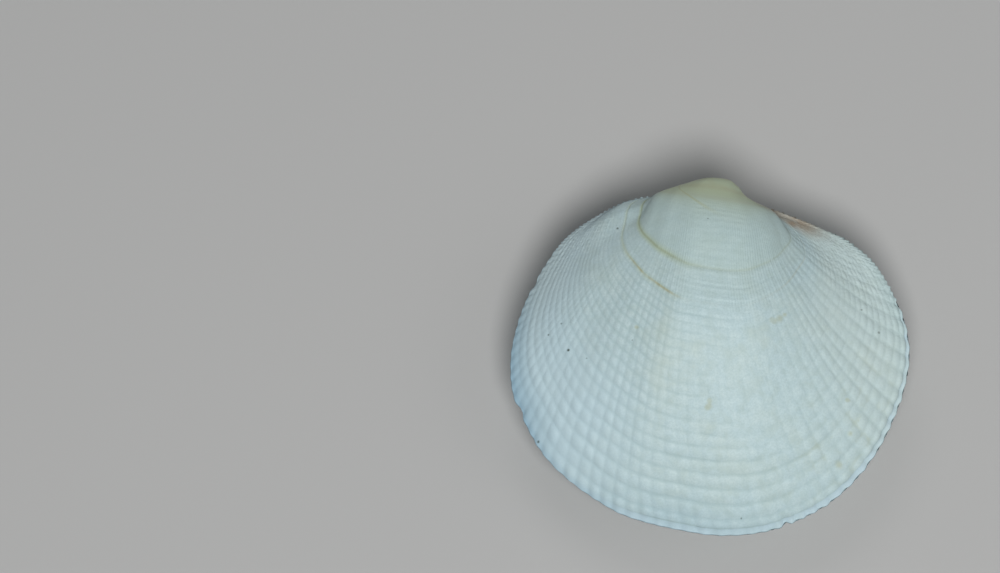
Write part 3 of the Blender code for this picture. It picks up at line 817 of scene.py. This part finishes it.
        # yellowed bands with a thin olive core, strongest on the back half
        share, stage = self.share, self.stage
        outer, inner = (line[0] for line in sculpture["restingLines"])
        patchy = self.noise(self.grid(share * 34.0, stage * 3.0), *shellLook["streaks"])
        back = share.ramp(0.50, 0.64)
        front = share.ramp(0.40, 0.28)
        halo = stage.bump(inner + 0.001, 0.014) * (back * 0.62 + 0.10)
        self.lay(halo * patchy.ramp(0.10, 0.40), "yellowed")
        core = stage.bump(inner, 0.0045) * (back * 0.34 + 0.26)
        self.lay(core * patchy.ramp(0.15, 0.50), "ring")
        strong = share.ramp(0.54, 0.58) * share.ramp(0.72, 0.66) * 0.60
        core = stage.bump(outer, 0.0055) * (strong + back * 0.16 + front * 0.18 + 0.04)
        self.lay(core * patchy.ramp(0.20, 0.55), "scar")
        self.lay(stage.bump(outer + 0.001, 0.015) * back * 0.35, "yellowed")
        # an older line on the back half, which slants across the others
        past = share - 0.468
        slanting = stage + past * 0.089 + past * past * 2.27
        self.lay(slanting.bump(0.311, 0.007) * share.ramp(0.46, 0.58) * 0.55, "old")

    def brownBlush(self):
        # beside the front margin, next to the beak
        east, north = self.axis(self.place, 0), self.axis(self.place, 1)
        grown = self.stage.ramp(0.36, 0.50)
        startX, startY = blush["from"]
        inward = startY * mm - (east - startX * mm) * blush["fall"] - north
        inward = inward * (2.2 - grown * 1.2)
        along = east.ramp((startX - 2.0) * mm, (startX + 0.6) * mm)
        along = along * east.ramp(blush["until"] * mm, blush["fadesFrom"] * mm)
        blushed = inward.ramp(blush["deep"] * mm, blush["full"] * mm) * along
        blushed = blushed * (0.65 + self.blotchy.ramp(0.35, 0.60) * 0.35)
        self.lay(blushed * (grown * 0.65 + 0.35), "lunule")

    def spots(self, marks):
        # stains, then pits; both have ragged edges
        ragged = (self.fine - 0.5) * 0.0004 + (self.blotchy - 0.5) * 0.0012
        for kind, wobble in (("stains", 1.0), ("pits", 0.3)):
            for x, y, radius, strength in marks[kind]:
                spot = {0: self.flat, 1: (x * mm, y * mm, 0)}
                away = self.node("ShaderNodeVectorMath", {"operation": "DISTANCE"}, spot, "Value")
                mask = (away + ragged * wobble).ramp(radius * mm, radius * mm * 0.1)
                self.lay(mask * strength, kind[:-1])

    def grain(self):
        # height of what is too fine for the mesh
        share, stage = self.share, self.stage
        threads = self.noise(self.grid(share * 260.0, stage * 420.0), *shellLook["streaks"])
        young = stage.ramp(0.52, 0.44) * stage.ramp(0.22, 0.36)
        ribWave = self.maths("COSINE", self.rib * (4 * math.pi))
        cordWave = self.maths("COSINE", self.cord * (3 * math.pi))
        net = (ribWave * 0.25 - cordWave * 0.20) * young * share.bump(0.46, 0.30)
        small = threads * 0.5 + self.fine * (young * 0.6 + 0.45) + self.grit * 0.3
        return small * (1 - self.upper * 0.7) + net + self.granules * self.upper * 2.2

    def finish(self):
        rough = shellLook["roughness"] + 0.25 * (self.fine - 0.5) + self.stage.ramp(0.5, 0.2) * -0.10
        relief = {
            "Strength": shellLook["bumpStrength"], "Distance": shellLook["bumpDepth"],
            "Height": self.grain(),
        }
        normal = self.node("ShaderNodeBump", None, relief)
        self.surface(Base_Color=self.colour, Roughness=rough, Normal=normal)
        self.shader.inputs["Specular IOR Level"].default_value = shellLook["specular"]
        return self.material


def shellMaterial(name, marks):
    made = ShellPaint(name)
    made.chalk()
    made.regions()
    made.youngShell()
    made.restingLines()
    made.brownBlush()
    made.spots(marks)
    return made.finish()


hornLook = {
    "dark": (0.060, 0.030, 0.014, 1),
    "light": (0.16, 0.085, 0.035, 1),
    "roughness": 0.5,
    "strands": (300.0, 3600.0, 3600.0),      # to the metre, along and across them
    "bumpStrength": 0.5,
    "bumpDepth": 0.05 * mm,
}


def hornMaterial(name):
    made = Recipe(name)
    place = made.node("ShaderNodeTexCoord", None, None, "Object")
    strand = made.noise(place, 1.0, 3.0, 0.6, hornLook["strands"])
    colour = made.tint(strand.ramp(0.35, 0.7), hornLook["dark"], hornLook["light"])
    relief = {
        "Strength": hornLook["bumpStrength"], "Distance": hornLook["bumpDepth"], "Height": strand,
    }
    normal = made.node("ShaderNodeBump", None, relief)
    rough = hornLook["roughness"] + 0.3 * (strand - 0.5)
    made.surface(Base_Color=colour, Roughness=rough, Normal=normal)
    return made.material


for piece, material in ((rightValve, shellMaterial("chalkyShellRight", rightMarks)),
                        (leftValve, shellMaterial("chalkyShellLeft", leftMarks)),
                        (ligament, hornMaterial("drySinew"))):
    piece.data.materials.append(material)
for piece, node, slotName in ((rightValve, "right_valve", "shell_white"),
                              (leftValve, "left_valve", "shell_white"),
                              (ligament, "ligament", "ligament_brown")):
    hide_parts(node)
    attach(piece, "root")
print("shell dressed")

studio = {
    "floorHalf": 1.5,
    "floorColour": (0.52, 0.52, 0.515, 1),
    "surround": (0.80, 0.83, 0.86, 1),
    "surroundStrength": 0.15,
    # name, place, size, power, colour
    "lamps": [
        ("keyLamp", (0.03, -0.38, 0.80), 0.34, 4.9, (1.0, 0.995, 0.985)),
        ("fillLamp", (0.55, -0.10, 0.55), 0.50, 0.4, (0.97, 0.985, 1.0)),
        ("backLamp", (-0.10, 0.50, 0.66), 0.45, 0.6, (0.97, 0.985, 1.0)),
    ],
}


def makeFloor():
    shape = bmesh.new()
    bmesh.ops.create_grid(shape, x_segments=1, y_segments=1, size=studio["floorHalf"])
    floor = finishPiece(shape, "paleFloor")
    made = Recipe("paleFloorPaint")
    made.surface(Base_Color=studio["floorColour"], Roughness=0.8)
    floor.data.materials.append(made.material)


def makeLights():
    for name, place, size, power, colour in studio["lamps"]:
        lamp = bpy.data.lights.new(name, "AREA")
        lamp.shape = "DISK"
        lamp.size = size
        lamp.energy = power
        lamp.color = colour
        holder = bpy.data.objects.new(name, lamp)
        holder.location = place
        holder.rotation_euler = (-Vector(place)).to_track_quat("-Z", "Y").to_euler()
        bpy.context.scene.collection.objects.link(holder)
    world = bpy.data.worlds.new("paleSurround")
    world.use_nodes = True
    backdrop = world.node_tree.nodes["Background"]
    backdrop.inputs["Color"].default_value = studio["surround"]
    backdrop.inputs["Strength"].default_value = studio["surroundStrength"]
    bpy.context.scene.world = world


photoView = {
    "size": (1000, 573),         # pixels
    "hingePixel": (715, 205),    # where the hinge point lands
    "pixelsPerMm": 7.089,
    "elevation": 74.0,
    "distance": 1.2,
    "sensorWidth": 36.0,         # millimetres
    "nearest": 0.05,
    "farthest": 20.0,
}


def makeCamera():
    elevation = math.radians(photoView["elevation"])
    up = Vector((0, math.sin(elevation), math.cos(elevation)))
    back = Vector((0, -math.cos(elevation), math.sin(elevation)))
    scale = photoView["pixelsPerMm"] / mm
    right = (photoView["size"][0] / 2 - photoView["hingePixel"][0]) / scale
    above = (photoView["hingePixel"][1] - photoView["size"][1] / 2) / scale
    aim = Vector(shellForm["restPlace"]) + Vector((right, 0, 0)) + up * above
    camera = bpy.data.cameras.new("photoCamera")
    camera.sensor_width = photoView["sensorWidth"]
    camera.lens = camera.sensor_width * photoView["distance"] * scale / photoView["size"][0]
    camera.clip_start = photoView["nearest"]
    camera.clip_end = photoView["farthest"]
    holder = bpy.data.objects.new("photoCamera", camera)
    holder.location = aim + back * photoView["distance"]
    holder.rotation_euler = back.to_track_quat("Z", "Y").to_euler()
    bpy.context.scene.collection.objects.link(holder)
    bpy.context.scene.camera = holder


makeFloor()
makeLights()
makeCamera()
bpy.context.scene.view_settings.view_transform = "Standard"
print("studio ready")
